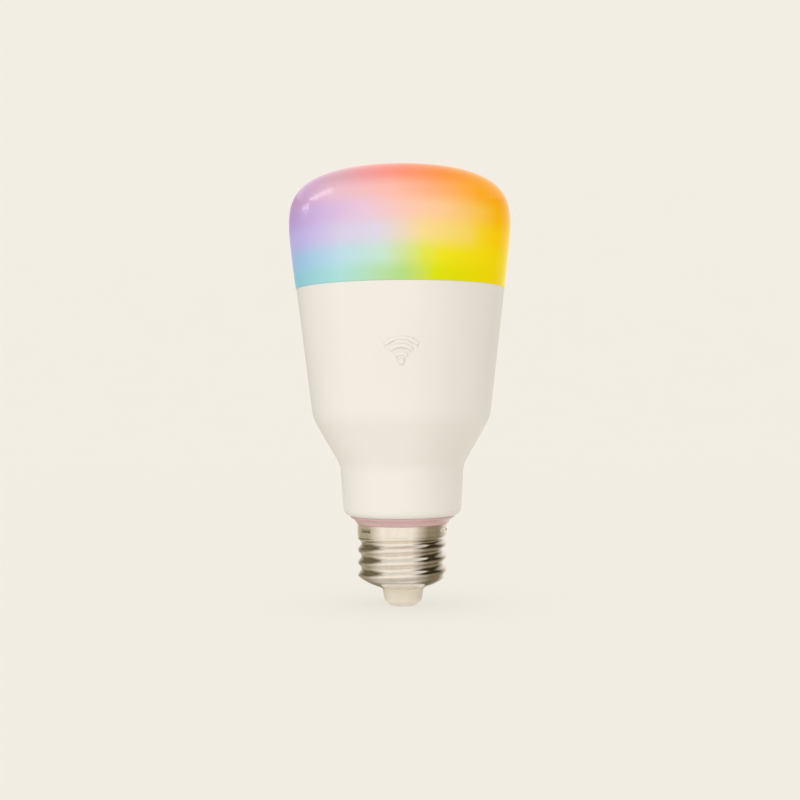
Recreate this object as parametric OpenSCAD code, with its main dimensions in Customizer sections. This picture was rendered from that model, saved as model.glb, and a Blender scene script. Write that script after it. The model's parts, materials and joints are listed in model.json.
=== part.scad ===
// Smart light bulb with an E27 screw cap.
// Millimetres. +Z runs up the bulb's axis, the origin is the centre of the
// contact's flat end face, and -Y is the bulb's front.

/* [Diffuser] */
// Widest diameter of the bulb
bulb_d = 64; // [63:0.5:66]
// Height of the crown above the contact face
bulb_h = 125.5; // [124:0.5:127]
// Height of the widest ring
widest_z = 108.5; // [107:0.5:110]
// How square the shoulder of the crown is
crown_power = 3; // [2.2:0.1:3.2]
// Wall of the diffuser
diffuser_wall = 1.6; // [1.2:0.1:2]

/* [Housing] */
// Height of the seam between housing and diffuser
seam_z = 91.2; // [90.8:0.1:91.4]
// Diameter of the housing at the seam
seam_d = 60; // [59.6:0.1:60.2]
// Height of the corner where the cone turns in
shoulder_z = 54.1; // [53.6:0.1:54.6]
// Diameter at that corner
shoulder_d = 51.1; // [50.6:0.1:51.6]
// Height of the corner where the neck starts
neck_z = 40.5; // [40:0.1:41]
// Diameter at the top of the neck
neck_d = 35.6; // [35.2:0.1:36]
// Height of the neck's flat underside
foot_z = 26.05; // [26:0.05:26.2]
// Diameter of the neck at its underside
foot_d = 33.8; // [33.4:0.1:34.2]
// Wall of the housing
housing_wall = 1.8; // [1.6:0.1:2]
// Height of the dot under the raised signal mark
mark_z = 69.6; // [68:0.2:71]
// How far the mark stands off the housing
mark_raise = 0.2; // [0.1:0.05:0.3]

/* [Screw cap] */
// Diameter over the crests of the thread
crest_d = 26.15; // [26.05:0.05:26.3]
// Diameter over the roots of the thread
root_d = 24.1; // [24:0.02:24.26]
// Pitch of the thread
pitch = 3.629; // [3.629]
// Height of a crest on the +X side
crest_z = 17.92; // [17.5:0.1:18.5]
// Height of the top edge of the screw shell
shell_top_z = 23.7; // [23.5:0.1:23.8]
// Height of the lower edge of the smooth band above the thread
band_z = 20.5; // [20.2:0.1:20.7]
// Sheet thickness of the screw shell
sheet = 0.35; // [0.3:0.05:0.4]
// Diameter of the contact's head
contact_d = 8.7; // [8.4:0.1:9]

/* [Light engine] */
// Diameter of the aluminium LED board
led_board_d = 52.4; // [51:0.2:52.4]
// Thickness of the LED board
led_board_t = 1.5; // [1:0.1:1.6]
// Number of white LEDs, warm and cool in turn
white_leds = 12; // [8:2:14]
// Number of colour LEDs
rgb_leds = 6; // [6]
// Radius of the ring of white LEDs
white_ring_r = 19.2; // [18.8:0.1:19.4]
// Radius of the ring of colour LEDs
rgb_ring_r = 13; // [12.8:0.1:13.2]
// Number of screws that hold the LED board
board_screws = 3; // [3]

/* [Driver] */
// Thickness of the driver board
board_t = 1.6; // [1.2:0.1:1.6]
// Height of the lower end of the driver board
board_low_z = 13; // [12.5:0.5:14]
// Height of the upper end of the driver board
board_high_z = 79; // [78.5:0.5:80]
// Number of pins between the driver and the LED board
led_pins = 8; // [4:2:8]
// Number of pins between the driver and the radio board
radio_pins = 8; // [4:2:8]

/* [Hidden] */

FINE = 96;             // facets that stand for a true circle
GAP = 0.1;             // assembly clearance between neighbouring pieces
ARC_STEPS = 8;         // points along a rounded corner of an outline
pad_t = 0.3;           // thickness of the thermal pad

// Housing
spigot_r = 11.6;       // outside of the tube that goes down into the screw shell
spigot_in_r = 10;      // inside of that tube
spigot_z = 9.3;        // lower end of the tube
floor_z = foot_z + 2;  // inside floor of the neck
seam_in_r = seam_d / 2 - housing_wall - 0.05;
shoulder_in_r = shoulder_d / 2 - housing_wall;
neck_in_r = neck_d / 2 - housing_wall;
foot_in_r = foot_d / 2 - housing_wall;

// Light engine, from the LED board's underside up
led_top_z = 85.8;
led_low_z = led_top_z - led_board_t;
shelf_z = led_low_z - pad_t;
shelf_t = 1.8;
shelf_in_r = 19.6;
screw_ring_r = 22.9;
screw_turn = 90;
skirt_t = 1.2;
skirt_low_z = led_top_z + 0.3;
sealant_t = 0.4;
seam_step = 0.2;        // the diffuser's foot stands out this far from the housing
white_size = 2.8;
white_h = 0.8;
rgb_size = 3.8;
rgb_h = 1.2;

// Driver board stands in the XZ plane, with its tall parts on the +Y side
board_front_y = -3.2;
board_back_y = board_front_y - board_t;
header_y = board_back_y - 1.25;
header_z = 76.62;
pin_step = 2.54;
pin_w = 0.64;
tongue_w = 16.6;
neck_board_w = 27.2;
upper_board_w = 33;

// Radio board stands in front of the driver board and through the LED board
radio_y = 1;
radio_t = 0.8;
radio_w = 16;
radio_low_z = 66;
radio_high_z = 95.5;
radio_pin_z = 67.5;
radio_pin_step = 2;
radio_pin_w = 0.5;

// Wound and tall parts: [x, z] places on the driver board
can_r = 4;
sleeve_t = 0.12;
can_h = 13.5;
can_y = board_front_y + can_r + sleeve_t + GAP;
capacitors = [[-4.8, 30.8], [4.8, 30.8], [12.3, 65.8]]; // x and height of the base
transformer_at = [-6.5, 3.4, 54];
chokes = [[8.5, 49.6, 4.1, 9.2], [-12.4, 72, 3.9, 8]]; // x, z, radius, length
film_at = [9.6, 58.6];
film_size = [11, 10, 5.4];
varistor_at = [-3.5, 22.4];
fuse_at = [4.4, 17.8];
fuse_len = 8.6;

lead_r = 0.3;
hole_r = 0.45;
lead_spacing = 1.25;

// ---- Outlines ----------------------------------------------------------

function unit(v) = v / norm(v);

function reversed(list) = [for (i = [len(list) - 1:-1:0]) list[i]];

// Arc of radius r that rounds corner v between the points a and b.
function corner_arc(a, v, b, r) =
    let (
        u = unit(a - v),
        w = unit(b - v),
        half = acos(u * w) / 2,
        p = v + u * r / tan(half),
        q = v + w * r / tan(half),
        c = v + unit(u + w) * r / sin(half),
        start = atan2(p.y - c.y, p.x - c.x),
        turn = atan2(q.y - c.y, q.x - c.x) - start,
        sweep = turn > 180 ? turn - 360 : turn < -180 ? turn + 360 : turn
    )
    [for (i = [0:ARC_STEPS]) let (t = start + sweep * i / ARC_STEPS) c + r * [cos(t), sin(t)]];

// Outline through corner points [x, y, radius]; a radius of 0 keeps a sharp corner.
function outline(corners) =
    let (n = len(corners))
    [
        for (i = [0:n - 1])
            let (
                flat = function (k) [corners[(k + n) % n].x, corners[(k + n) % n].y]
            )
            each corners[i].z == 0
                ? [flat(i)]
                : corner_arc(flat(i - 1), flat(i), flat(i + 1), corners[i].z)
    ];

// Inside radius of the housing's cone at height z.
function cone_in_r(z) =
    shoulder_in_r + (seam_in_r - shoulder_in_r) * (z - shoulder_z) / (seam_z - shoulder_z);

// Outside radius of the housing's cone at height z.
function cone_out_r(z) =
    shoulder_d / 2 + (seam_d - shoulder_d) / 2 * (z - shoulder_z) / (seam_z - shoulder_z);

// Half outline of the diffuser, from height low_z up and moved in by inset:
// a flare up to the widest ring, then a superellipse.
function dome(inset, low_z) =
    let (
        r = bulb_d / 2 - inset,
        h = bulb_h - widest_z - inset,
        flare = (bulb_d - seam_d) / 2 - seam_step,
        flare_steps = 10,
        crown_steps = 26
    )
    concat(
        [
            for (i = [0:flare_steps])
                let (z = low_z + (widest_z - low_z) * i / flare_steps)
                [r - flare * pow((widest_z - z) / (widest_z - seam_z), 1.3), z]
        ],
        [
            for (i = [1:crown_steps])
                let (a = 90 * i / crown_steps)
                [i == crown_steps ? 0 : r * pow(cos(a), 2 / crown_power),
                 widest_z + h * pow(sin(a), 2 / crown_power)]
        ]
    );

module ring(outer_r, inner_r, low, high) {
    translate([0, 0, low])
        difference() {
            cylinder(r = outer_r, h = high - low, $fn = FINE);
            translate([0, 0, -1]) cylinder(r = inner_r, h = high - low + 2, $fn = FINE);
        }
}

// A box given by its centre in X, and its lower corner in Y and Z.
module block(size, at) {
    translate([at.x - size.x / 2, at.y, at.z]) cube(size);
}

// A round bar along +Y from y1 to y2.
module bar_y(x, z, r, y1, y2) {
    translate([x, y1, z]) rotate([-90, 0, 0]) cylinder(r = r, h = y2 - y1, $fn = 24);
}

// A tube of radius r swept along points, with a flat end at each end.
module sweep(points, r, sides = 8) {
    n = len(points);
    away = [0.31, 0.23, 0.92];
    tangents = [for (i = [0:n - 1]) unit(points[min(i + 1, n - 1)] - points[max(i - 1, 0)])];
    rings = [
        for (i = [0:n - 1])
            let (u = unit(cross(tangents[i], away)), v = cross(tangents[i], u))
            for (k = [0:sides - 1])
                points[i] + r * (u * cos(360 * k / sides) + v * sin(360 * k / sides))
    ];
    walls = [
        for (i = [0:n - 2], k = [0:sides - 1])
            let (a = i * sides, b = a + sides, m = (k + 1) % sides)
            each [[a + k, b + m, a + m], [a + k, b + k, b + m]]
    ];
    caps = [[for (k = [0:sides - 1]) k], [for (k = [sides - 1:-1:0]) (n - 1) * sides + k]];
    polyhedron(rings, concat(walls, caps));
}

// ---- Outer shells --------------------------------------------------------

// The diffuser's skirt goes down inside the housing's mouth, behind a ledge.
module diffuser() {
    skirt_out = cone_in_r(seam_z) - sealant_t;
    skirt_out_low = cone_in_r(skirt_low_z) - sealant_t;
    ledge_z = seam_z + diffuser_wall;
    color("lightyellow")
        rotate_extrude($fn = FINE)
            polygon(concat(
                dome(0, seam_z),
                reversed(dome(diffuser_wall, ledge_z)),
                [
                    [skirt_out - skirt_t, ledge_z], [skirt_out - skirt_t, seam_z],
                    [skirt_out_low - skirt_t, skirt_low_z], [skirt_out_low, skirt_low_z],
                    [skirt_out, seam_z]
                ]
            ));
}

module diffuser_sealant() {
    low = skirt_low_z + 0.8;
    high = seam_z - 0.3;
    color("white")
        rotate_extrude($fn = FINE)
            polygon([
                [cone_in_r(low) - sealant_t, low], [cone_in_r(low), low],
                [cone_in_r(high), high], [cone_in_r(high) - sealant_t, high]
            ]);
}

housing_outside = outline([
    [seam_d / 2, seam_z, 0], [shoulder_d / 2, shoulder_z, 12], [neck_d / 2, neck_z, 8],
    [foot_d / 2, foot_z, 2.2], [spigot_r, foot_z, 0], [spigot_r, spigot_z, 0],
    [spigot_in_r, spigot_z, 0], [spigot_in_r, floor_z, 0], [foot_in_r, floor_z, 1],
    [neck_in_r, neck_z, 8], [shoulder_in_r, shoulder_z, 12], [seam_in_r, seam_z, 0]
]);

// Ribs in the spigot that hold the two edges of the driver board.
module board_guides() {
    rib_t = 1;
    rib_x = 7.2;
    for (side = [0, 1]) mirror([side, 0, 0]) {
        translate([rib_x, board_front_y + GAP, 16]) cube([10.2 - rib_x, rib_t, 13]);
        translate([rib_x, board_back_y - GAP - rib_t, 16]) cube([9.2 - rib_x, rib_t, 13]);
    }
}

// A plain signal mark: a dot under three arcs
module signal_mark() {
    line = 0.9;
    step = 2.1;
    root = 0.6;
    low_r = cone_out_r(mark_z - line);
    high_z = mark_z + 3.5 * step;
    high_r = cone_out_r(high_z);
    intersection() {
        rotate_extrude($fn = FINE)
            polygon([
                [low_r - root, mark_z - line], [low_r + mark_raise, mark_z - line],
                [high_r + mark_raise, high_z], [high_r - root, high_z]
            ]);
        translate([0, 0, mark_z])
            rotate([90, 0, 0])
                linear_extrude(seam_d / 2) {
                    circle(r = line * 0.8, $fn = 48);
                    for (i = [1:3])
                        intersection() {
                            difference() {
                                circle(r = i * step + line / 2, $fn = 96);
                                circle(r = i * step - line / 2, $fn = 96);
                            }
                            polygon([[0, 0], [10, 10], [-10, 10]]);
                        }
                }
    }
}

module housing() {
    slot_w = 1.1;
    color("ivory")
        difference() {
            union() {
                rotate_extrude($fn = FINE) polygon(housing_outside);
                board_guides();
                signal_mark();
            }
            translate([spigot_r - 0.9, -slot_w / 2, spigot_z - 1]) cube([2, slot_w, 9]);
            translate([spigot_in_r - 1, -slot_w / 2, spigot_z - 1]) cube([3, slot_w, 2.4]);
        }
}

module at_screws(r = screw_ring_r) {
    for (i = [0:board_screws - 1])
        rotate([0, 0, screw_turn + i * 360 / board_screws]) translate([r, 0, 0]) children();
}

module heat_spreader() {
    t = 1.2;
    out_top = cone_in_r(shelf_z) - GAP;
    out_shoulder = shoulder_in_r - GAP;
    lip_z = 46;
    lip_slope = (shoulder_in_r - neck_in_r) / (shoulder_z - neck_z);
    lip_r = neck_in_r + lip_slope * (lip_z - neck_z) - 2 * GAP;
    color("silver")
        difference() {
            union() {
                rotate_extrude($fn = FINE)
                    polygon(outline([
                        [out_top, shelf_z, 0], [out_shoulder, shoulder_z, 12], [lip_r, lip_z, 0],
                        [lip_r - t, lip_z, 0], [out_shoulder - t, shoulder_z, 12],
                        [out_top - t, shelf_z - shelf_t, 0], [shelf_in_r, shelf_z - shelf_t, 0],
                        [shelf_in_r, shelf_z, 0]
                    ]));
                at_screws() translate([0, 0, shelf_z - 6]) cylinder(r = 2.6, h = 5.5, $fn = 48);
            }
            at_screws() translate([0, 0, shelf_z - 7]) cylinder(r = 1.25, h = 8, $fn = 32);
        }
}

module thermal_pad() {
    color("lightgrey")
        difference() {
            ring(led_board_d / 2, shelf_in_r, shelf_z, led_low_z);
            at_screws() translate([0, 0, shelf_z - 1]) cylinder(r = 1.5, h = 3, $fn = 32);
        }
}

module collar_ring() {
    color("rosybrown")
        rotate_extrude($fn = FINE)
            polygon(outline([
                [spigot_r + 0.05, shell_top_z, 0], [crest_d / 2 + 0.15, shell_top_z, 0.2],
                [crest_d / 2 + 0.75, shell_top_z + 1.1, 2.4], [15.1, foot_z - 0.5, 0.3],
                [15.1, foot_z, 0], [spigot_r + 0.05, foot_z, 0]
            ]));
}

// ---- Screw cap -----------------------------------------------------------

// Height of the thread above its root at a height and a turn, from 0 to 1:
// it fades into the plain root below and into the band's radius above.
function thread(z, turn) =
    let (
        wave = (1 + cos(360 * (z - crest_z) / pitch - turn)) / 2,
        low = min(1, max(0, (z - 7.4) / 1.2)),
        high = min(1, max(0, (z - band_z + 1.6) / 1.6))
    )
    low * (wave + (1 - wave) * high);

// Threaded sleeve and turned-in lower end, as one grid of rows by turns.
module thread_sleeve() {
    turns = 40;
    rows_a_pitch = 9;
    start_z = 8;
    end_z = band_z + 0.2;
    root_r = root_d / 2;
    depth = (crest_d - root_d) / 2 - 0.06;
    rows = ceil((end_z - start_z) / pitch * rows_a_pitch);
    low_out = [[6.5, 5.2], [8.4, 5.95], [10.1, 6.7], [11.3, 7.4]];
    low_in = [[6.5, 5.55], [8.25, 6.3], [9.85, 7.02], [10.95, 7.7]];
    path_z = [for (i = [0:rows]) start_z + (end_z - start_z) * i / rows];
    outer = concat(
        [for (p = low_out, k = [0:turns - 1]) [p.x, 360 * k / turns, p.y]],
        [for (z = path_z, k = [0:turns - 1])
            let (a = 360 * k / turns) [root_r + depth * thread(z, a), a, z]]
    );
    inner = concat(
        [for (p = low_in, k = [0:turns - 1]) [p.x, 360 * k / turns, p.y]],
        [for (z = path_z, k = [0:turns - 1])
            let (a = 360 * k / turns, t = z > band_z ? 0.25 : sheet)
            [root_r + depth * thread(z, a) - t, a, z]]
    );
    points = [for (p = concat(outer, inner)) [p.x * cos(p.y), p.x * sin(p.y), p.z]];
    half = len(outer);
    last = half - turns;
    skin = [
        for (i = [0:half / turns - 2], k = [0:turns - 1])
            let (a = i * turns, b = a + turns, m = (k + 1) % turns)
            each [[a + k, b + k, b + m], [a + k, b + m, a + m]]
    ];
    inside = [for (f = skin) [f[2] + half, f[1] + half, f[0] + half]];
    ends = [
        for (k = [0:turns - 1])
            let (m = (k + 1) % turns)
            each [
                [k, m, m + half], [k, m + half, k + half],
                [last + m, last + k, last + k + half], [last + m, last + k + half, last + m + half]
            ]
    ];
    polyhedron(points, concat(skin, inside, ends));
}

// Smooth band above the thread, crimped into the spigot by short grooves.
module shell_band() {
    crimps = 3;
    first_turn = 216;
    crimp_turn = 16;
    crimp_r = 0.6;
    crimp_depth = 0.25;
    difference() {
        ring(crest_d / 2, crest_d / 2 - sheet, band_z, shell_top_z);
        for (i = [0:crimps - 1])
            rotate([0, 0, first_turn - crimp_turn / 2 + 360 * i / crimps])
                rotate_extrude(angle = crimp_turn, $fn = FINE)
                    translate([crest_d / 2 + crimp_r - crimp_depth, band_z + 1.6])
                        circle(r = crimp_r, $fn = 24);
    }
}

module screw_shell() {
    color("gainsboro") union() {
        thread_sleeve();
        shell_band();
    }
}

module cap_insulator() {
    hole = 1.25;
    color("antiquewhite")
        rotate_extrude($fn = FINE)
            polygon(outline([
                [hole, 0.95, 0], [5.2, 0.95, 0.8], [5.9, 4.5, 0.5], [6.4, 5.1, 0],
                [6.4, 5.75, 0], [8.1, 6.45, 0], [9.7, 7.15, 0], [10.8, 7.85, 0],
                [11.2, 8.3, 0], [11.2, 9, 0], [8, 9, 0], [7, 7.6, 0.4], [2.6, 7, 0.4],
                [2.6, 8, 0], [hole, 8, 0]
            ]));
}

contact_shank_r = 1.2;
contact_top_z = 9.6;

module centre_contact() {
    color("silver")
        rotate_extrude($fn = FINE)
            polygon(outline([
                [0, 0, 0], [contact_d / 2, 0, 0.7], [contact_d / 2, 0.93, 0],
                [contact_shank_r, 0.93, 0], [contact_shank_r, contact_top_z, 0.3],
                [0, contact_top_z, 0]
            ]));
}

// ---- Light engine --------------------------------------------------------

module led_slots() {
    block([radio_w + 1, 2, 4], [0, radio_y + radio_t / 2 - 1, led_low_z - 1]);
    block([led_pins * pin_step, 1.6, 4], [0, header_y - 0.8, led_low_z - 1]);
}

module led_board() {
    notch_r = 1.2;
    color("white")
        difference() {
            translate([0, 0, led_low_z]) cylinder(d = led_board_d, h = led_board_t, $fn = FINE);
            at_screws() translate([0, 0, led_low_z - 1]) cylinder(r = 1.45, h = 4, $fn = 32);
            for (side = [-1, 1])
                translate([side * led_board_d / 2, 0, led_low_z - 1])
                    cylinder(r = notch_r, h = 4, $fn = 32);
            led_slots();
        }
}

module led_board_screws() {
    head_h = 1.5;
    color("silver")
        at_screws() difference() {
            union() {
                translate([0, 0, led_top_z])
                    rotate_extrude($fn = 48)
                        polygon(outline([[0, 0, 0], [2.3, 0, 0], [2.3, head_h, 0.7], [0, head_h, 0]]));
                translate([0, 0, led_top_z - 6]) cylinder(r = 1.2, h = 6.1, $fn = 32);
            }
            for (turn = [0, 90])
                translate([0, 0, led_top_z + 0.6]) rotate([0, 0, turn])
                    translate([-1.3, -0.3, 0]) cube([2.6, 0.6, 2]);
        }
}

// One LED: a square frame with a round window, or the fill in that window.
module led_frame(size, h) {
    difference() {
        translate([-size / 2, -size / 2, 0]) cube([size, size, h]);
        translate([0, 0, h - 0.4]) cylinder(r = size * 0.4, h = 1, $fn = 48);
    }
}

module led_fill(size, h) {
    translate([0, 0, h - 0.4]) cylinder(r = size * 0.4, h = 0.35, $fn = 48);
}

// Puts children on a ring on the LED board, at each place from first in steps.
module on_ring(r, count, first, step, turn) {
    for (i = [first:step:count - 1])
        rotate([0, 0, turn + i * 360 / count]) translate([r, 0, led_top_z]) children();
}

module white_led_packages() {
    color("white") on_ring(white_ring_r, white_leds, 0, 1, 15) led_frame(white_size, white_h);
}

module warm_led_phosphors() {
    color("orange") on_ring(white_ring_r, white_leds, 0, 2, 15) led_fill(white_size, white_h);
}

module cool_led_phosphors() {
    color("yellow") on_ring(white_ring_r, white_leds, 1, 2, 15) led_fill(white_size, white_h);
}

module rgb_led_packages() {
    color("white") on_ring(rgb_ring_r, rgb_leds, 0, 1, 0) led_frame(rgb_size, rgb_h);
}

module rgb_led_lenses() {
    color("lightcyan") on_ring(rgb_ring_r, rgb_leds, 0, 1, 0) led_fill(rgb_size, rgb_h);
}

function pin_x(i, count, step) = (i - (count - 1) / 2) * step;

module led_header_pins(extra = 0) {
    w = pin_w + 2 * extra;
    foot_y = board_front_y + 0.8;
    color("gold")
        for (i = [0:led_pins - 1]) {
            x = pin_x(i, led_pins, pin_step);
            block([w, w, 89 - header_z + extra], [x, header_y - w / 2, header_z - w / 2]);
            block([w, foot_y - header_y, w], [x, header_y, header_z - w / 2]);
        }
}

module led_header() {
    size = 2.5;
    color("dimgrey")
        difference() {
            block([led_pins * pin_step, size - 0.05, size], [0, board_back_y - size, header_z - size / 2]);
            led_header_pins(0.01);
        }
}

module led_socket() {
    size = [led_pins * pin_step + 1, 3.6, 4.4];
    color("white")
        difference() {
            block(size, [0, header_y - size.y / 2, led_top_z]);
            led_header_pins(0.06);
            for (i = [0:led_pins - 1])
                block([1.5, 1.5, 2], [pin_x(i, led_pins, pin_step), header_y - 0.75, led_top_z + size.z - 1]);
        }
}

// ---- Radio board ---------------------------------------------------------

module radio_board() {
    color("darkblue")
        difference() {
            block([radio_w, radio_t, radio_high_z - radio_low_z], [0, radio_y, radio_low_z]);
            for (i = [0:radio_pins - 1])
                bar_y(pin_x(i, radio_pins, radio_pin_step), radio_pin_z, 0.4, radio_y - 1, radio_y + 2);
        }
}

shield_size = [12, 2.1, 12];
shield_z = 69.5;

module radio_chip() {
    color("dimgrey") block([5, 0.9, 5], [-1.5, radio_y + radio_t, shield_z + 4.5]);
}

module radio_shield() {
    t = 0.2;
    color("silver")
        difference() {
            block(shield_size, [0, radio_y + radio_t, shield_z]);
            block([shield_size.x - 2 * t, shield_size.y - t, shield_size.z - 2 * t],
                  [0, radio_y + radio_t - 0.01, shield_z + t]);
            for (x = [-3.5, 0, 3.5], z = [3, 9])
                bar_y(x, shield_z + z, 0.5, radio_y + 2, radio_y + 5);
        }
}

// Meandering copper strip above the LED board.
module radio_antenna() {
    strip = 0.7;
    t = 0.08;
    low = 88;
    high = 94.4;
    legs = 7;
    step = 2;
    y = radio_y + radio_t;
    color("peru") {
        for (i = [0:legs - 1])
            block([strip, t, high - low], [pin_x(i, legs, step), y, low]);
        for (i = [0:legs - 2])
            block([step + strip, t, strip],
                  [pin_x(i, legs, step) + step / 2, y, i % 2 == 0 ? high - strip : low]);
        block([strip, t, low - 82.5], [pin_x(0, legs, step), y, 82.5]);
    }
}

module radio_pins(extra = 0) {
    w = radio_pin_w + 2 * extra;
    low_y = board_back_y - 0.7;
    size = [w, radio_y + radio_t + 0.3 - low_y, w];
    color("gold")
        for (i = [0:radio_pins - 1])
            block(size, [pin_x(i, radio_pins, radio_pin_step), low_y, radio_pin_z - w / 2]);
}

module radio_header() {
    color("dimgrey")
        difference() {
            block([radio_w, radio_y - board_front_y - 0.04, 2], [0, board_front_y + 0.02, radio_pin_z - 1]);
            radio_pins(0.01);
        }
}

// ---- Driver board and its parts -------------------------------------------

// [x, z] of every lead that goes through the driver board.
capacitor_leads = [for (c = capacitors, s = [-1, 1]) [c.x + s * lead_spacing, c.y - 1.4]];
choke_leads = [for (c = chokes, s = [-1, 1]) [c.x + s * (c[2] - 1.2), c.y]];
film_leads = [for (s = [-1, 1]) [film_at.x + s * 4.6, film_at.y]];
varistor_leads = [for (s = [-1, 1]) [varistor_at.x + s * 2.5, varistor_at.y - 4.8]];
fuse_leads = [for (z = [-1.2, fuse_len + 1.2]) [fuse_at.x, fuse_at.y + z]];
transformer_leads = [for (i = [-2:2], s = [-1, 1]) [transformer_at.x + i * 2.5, transformer_at.z + s * 8.4]];
round_leads = concat(capacitor_leads, choke_leads, film_leads, varistor_leads, fuse_leads, transformer_leads);
live_hole = [-6.2, 15.4];
neutral_hole = [6.2, 14.8];
wire_hole_r = 0.6;
live_r = 0.5;
neutral_r = 0.36;

module driver_board() {
    outline_points = outline([
        [-tongue_w / 2, board_low_z, 1], [tongue_w / 2, board_low_z, 1],
        [tongue_w / 2, floor_z + 0.6, 0], [neck_board_w / 2, floor_z + 0.6, 0],
        [neck_board_w / 2, 42, 0], [upper_board_w / 2, 47.4, 0],
        [upper_board_w / 2, board_high_z, 1], [-upper_board_w / 2, board_high_z, 1],
        [-upper_board_w / 2, 47.4, 0], [-neck_board_w / 2, 42, 0],
        [-neck_board_w / 2, floor_z + 0.6, 0], [-tongue_w / 2, floor_z + 0.6, 0]
    ]);
    color("seagreen")
        difference() {
            translate([0, board_front_y, 0]) rotate([90, 0, 0])
                linear_extrude(board_t) polygon(outline_points);
            for (p = round_leads) bar_y(p.x, p.y, hole_r, board_back_y - 1, board_front_y + 1);
            for (p = [live_hole, neutral_hole])
                bar_y(p.x, p.y, wire_hole_r, board_back_y - 1, board_front_y + 1);
            for (i = [0:led_pins - 1])
                bar_y(pin_x(i, led_pins, pin_step), header_z, 0.5, board_back_y - 1, board_front_y + 1);
            for (i = [0:radio_pins - 1])
                bar_y(pin_x(i, radio_pins, radio_pin_step), radio_pin_z, 0.4,
                      board_back_y - 1, board_front_y + 1);
        }
}

module at_capacitors() {
    for (c = capacitors) translate([c.x, can_y, c.y]) children();
}

bung_h = 1.2;

module capacitor_cans() {
    groove_z = 2.6;
    color("silver")
        at_capacitors() rotate_extrude($fn = 64)
            polygon(outline([
                [0, bung_h, 0], [can_r, bung_h, 0], [can_r, groove_z - 0.5, 0], [can_r - 0.4, groove_z, 0],
                [can_r, groove_z + 0.5, 0], [can_r, can_h, 0.5], [0, can_h, 0]
            ]));
}

module capacitor_sleeves() {
    r = can_r + sleeve_t;
    color("midnightblue")
        at_capacitors() difference() {
            translate([0, 0, bung_h]) cylinder(r = r, h = can_h - 0.7 - bung_h, $fn = 64);
            cylinder(r = can_r + 0.01, h = can_h + 1, $fn = 64);
        }
}

module capacitor_bungs() {
    color("black")
        at_capacitors() difference() {
            cylinder(r = can_r - 0.3, h = bung_h, $fn = 48);
            for (s = [-1, 1])
                translate([s * lead_spacing, 0, -1]) cylinder(r = lead_r + 0.02, h = 4, $fn = 24);
        }
}

core_size = [16, 5, 14];
core_leg = 4;
core_window = [3.6, 8.4];
bobbin_wall = 0.6;
winding_t = 2;

// Two ferrite halves that meet at mid height with a thin gap between them.
module transformer_core() {
    color("dimgrey")
        translate(transformer_at)
            for (s = [0, 1]) mirror([0, 0, s]) difference() {
                translate([-core_size.x / 2, -core_size.y / 2, 0.05])
                    cube([core_size.x, core_size.y, core_size.z / 2 - 0.05]);
                for (m = [0, 1]) mirror([m, 0, 0])
                    translate([core_leg / 2, -core_size.y, -1])
                        cube([core_window.x, 2 * core_size.y, core_window.y / 2 + 1]);
            }
}

bobbin_in = [core_leg + 0.1, core_size.y + 0.1];
bobbin_out = bobbin_in + 2 * [bobbin_wall, bobbin_wall];
flange = [2 * (core_leg / 2 + core_window.x) - 0.1, core_size.y + 2 * (bobbin_wall + winding_t) + 0.6];

module centred(size, low, high) {
    translate([-size.x / 2, -size.y / 2, low]) cube([size.x, size.y, high - low]);
}

module transformer_bobbin() {
    edge = core_window.y / 2 - 0.05;
    color("darkslategrey")
        translate(transformer_at) {
            difference() {
                union() {
                    centred(bobbin_out, -edge, edge);
                    for (s = [0, 1]) mirror([0, 0, s]) centred(flange, edge - 0.7, edge);
                }
                centred(bobbin_in, -edge - 1, edge + 1);
            }
            for (s = [0, 1]) mirror([0, 0, s])
                translate([-6.2, -5.6, core_size.z / 2 + 0.2]) difference() {
                    cube([12.4, 6.5, 2.4]);
                    for (i = [-2:2]) translate([6.2 + i * 2.5, 0, 1.2]) rotate([-90, 0, 0])
                        translate([0, 0, -1]) cylinder(r = lead_r + 0.02, h = 3, $fn = 24);
                }
        }
}

module transformer_winding() {
    edge = core_window.y / 2 - 0.85;
    size = bobbin_out + 2 * [winding_t - 0.2, winding_t];
    color("gold")
        translate(transformer_at) difference() {
            centred(size, -edge, edge);
            centred(bobbin_out + [0.04, 0.04], -edge - 1, edge + 1);
        }
}

// Puts children on the board at each choke: the child's axis runs away from the board.
module at_chokes() {
    for (c = chokes)
        translate([c.x, board_front_y + 0.1, c.y]) rotate([-90, 0, 0]) {
            $r = c[2];
            $h = c[3];
            children();
        }
}

choke_end = 1.2;
choke_waist = 0.5;

module choke_cores() {
    color("darkslategrey")
        at_chokes() difference() {
            rotate_extrude($fn = 64)
                polygon([
                    [0, 0], [$r, 0], [$r, choke_end], [$r * choke_waist, choke_end],
                    [$r * choke_waist, $h - choke_end], [$r, $h - choke_end], [$r, $h], [0, $h]
                ]);
            for (s = [-1, 1])
                translate([s * ($r - 1.2), 0, -1]) cylinder(r = lead_r + 0.02, h = 2, $fn = 24);
        }
}

module choke_windings() {
    color("chocolate")
        at_chokes() ring($r - 0.5, $r * choke_waist + 0.02, choke_end + 0.05, $h - choke_end - 0.05);
}

module film_capacitor() {
    c = 0.5;
    color("goldenrod")
        translate([film_at.x, board_front_y + 0.1, film_at.y])
            difference() {
                translate([0, film_size.y, 0]) rotate([90, 0, 0])
                    linear_extrude(film_size.y)
                        polygon(outline([
                            [-film_size.x / 2, -film_size.z / 2, c], [film_size.x / 2, -film_size.z / 2, c],
                            [film_size.x / 2, film_size.z / 2, c], [-film_size.x / 2, film_size.z / 2, c]
                        ]));
                for (s = [-1, 1]) bar_y(s * 4.6, 0, lead_r + 0.02, -1, 1);
            }
}

varistor_y = -1.2;

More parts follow.
